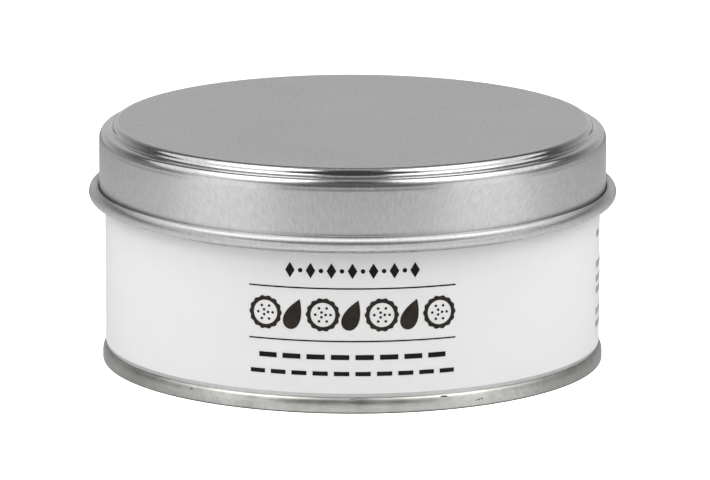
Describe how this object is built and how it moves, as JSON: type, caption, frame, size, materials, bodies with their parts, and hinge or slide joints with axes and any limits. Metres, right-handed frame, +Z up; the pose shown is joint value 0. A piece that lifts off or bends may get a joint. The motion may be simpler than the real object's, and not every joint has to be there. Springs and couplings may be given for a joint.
{
  "type": "round slip-lid biscuit tin",
  "caption": "Shut round tinplate tin for biscuits, with a stepped slip-over lid that has a rolled edge, a plain white paper label round the body and a double-seamed base.",
  "frame": {"origin": "centre of the tin's underside, in the plane that the base seam stands on", "axes": "+Z up along the tin's axis; the front of the label faces -Y"},
  "size_m": [0.1058, 0.1058, 0.0484],
  "materials": {
    "lid_tinplate": "satin rolled tinplate, glossy on the formed edges",
    "body_tinplate": "satin rolled tinplate",
    "seam_tinplate": "tinplate dulled and nicked by the seaming rolls",
    "label_paper": "matt white paper with plain dark print shapes"
  },
  "bodies": {
    "root": {"lid": "lid_tinplate", "tin_body": "body_tinplate", "base_end": "seam_tinplate", "label": "label_paper"}
  },
  "joints": []
}
